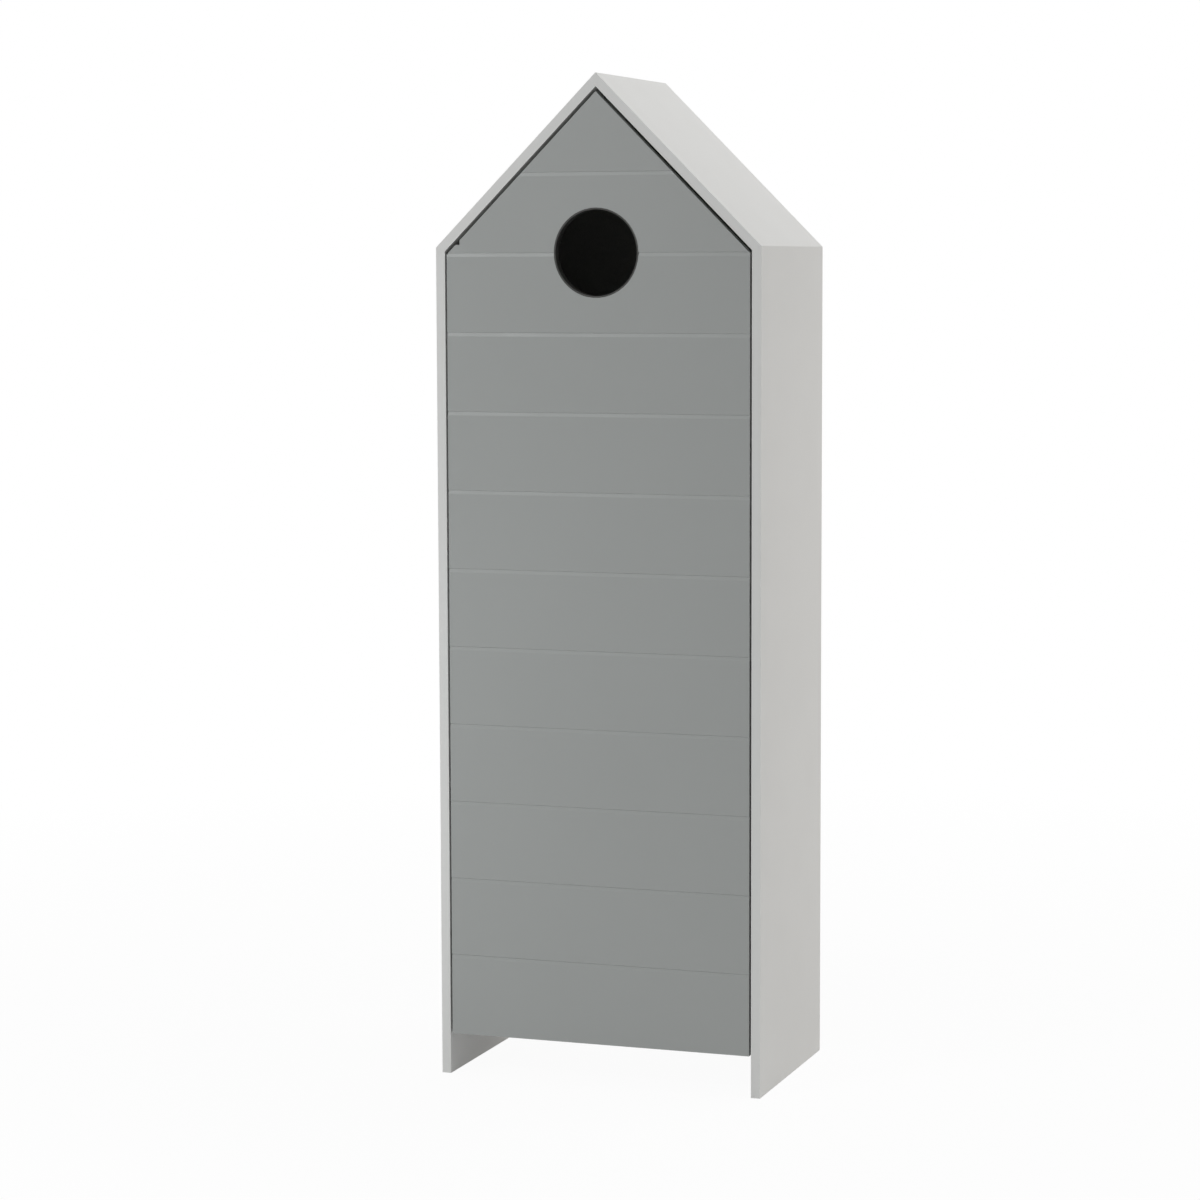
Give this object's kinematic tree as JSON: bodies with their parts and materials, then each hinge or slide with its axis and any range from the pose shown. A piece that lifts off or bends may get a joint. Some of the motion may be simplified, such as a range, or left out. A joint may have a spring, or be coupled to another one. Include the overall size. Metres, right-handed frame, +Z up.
{
  "type": "cabinet bookcase",
  "caption": "Tall narrow children's bookcase shaped like a beach hut, with a gabled roof, an inset plank door with a round finger hole and fixed shelves inside.",
  "frame": {"origin": "on the floor, under the middle of the cabinet's width and depth", "axes": "+Z up, -Y out of the door face, +X to the right of someone who faces the door"},
  "size_m": [0.576, 0.37, 1.715],
  "materials": {
    "white_board": "satin white lacquer on board",
    "grey_door": "satin grey lacquer on grooved board",
    "dark_back": "matt charcoal fibreboard",
    "black_plastic": "moulded black plastic",
    "steel": "zinc-plated steel",
    "zinc": "die-cast zinc",
    "beech": "plain beech"
  },
  "bodies": {
    "carcass": {"side_left": "white_board", "side_right": "white_board", "roof_left": "white_board", "roof_right": "white_board", "bottom_board": "white_board", "shelf_1": "white_board", "shelf_2": "white_board", "shelf_3": "white_board", "shelf_4": "white_board", "back_panel": "dark_back", "back_screws": "steel", "cam_bolts": "steel", "cam_locks": "zinc", "shelf_dowels": "beech", "roof_dowels": "beech", "ridge_brackets": "steel", "eave_brackets": "steel", "bracket_screws": "steel", "hinge_plates": "steel", "hinge_plate_screws": "steel", "hinge_arms": "zinc", "hinge_arm_screws": "steel", "magnet_catches": "black_plastic", "catch_screws": "steel", "wall_brackets": "steel", "wall_bracket_screws": "steel"},
    "door": {"door": "grey_door", "hole_liner": "black_plastic", "hinge_housings": "zinc", "hinge_pins": "steel", "hinge_housing_screws": "steel", "strike_plates": "steel", "strike_screws": "steel"}
  },
  "joints": [
    {"name": "door_swing", "type": "hinge", "parent": "carcass", "child": "door", "pos_m": [-0.253, -0.1776, 0.855], "axis": [0, 0, -1], "range_deg": [0, 90]}
  ]
}
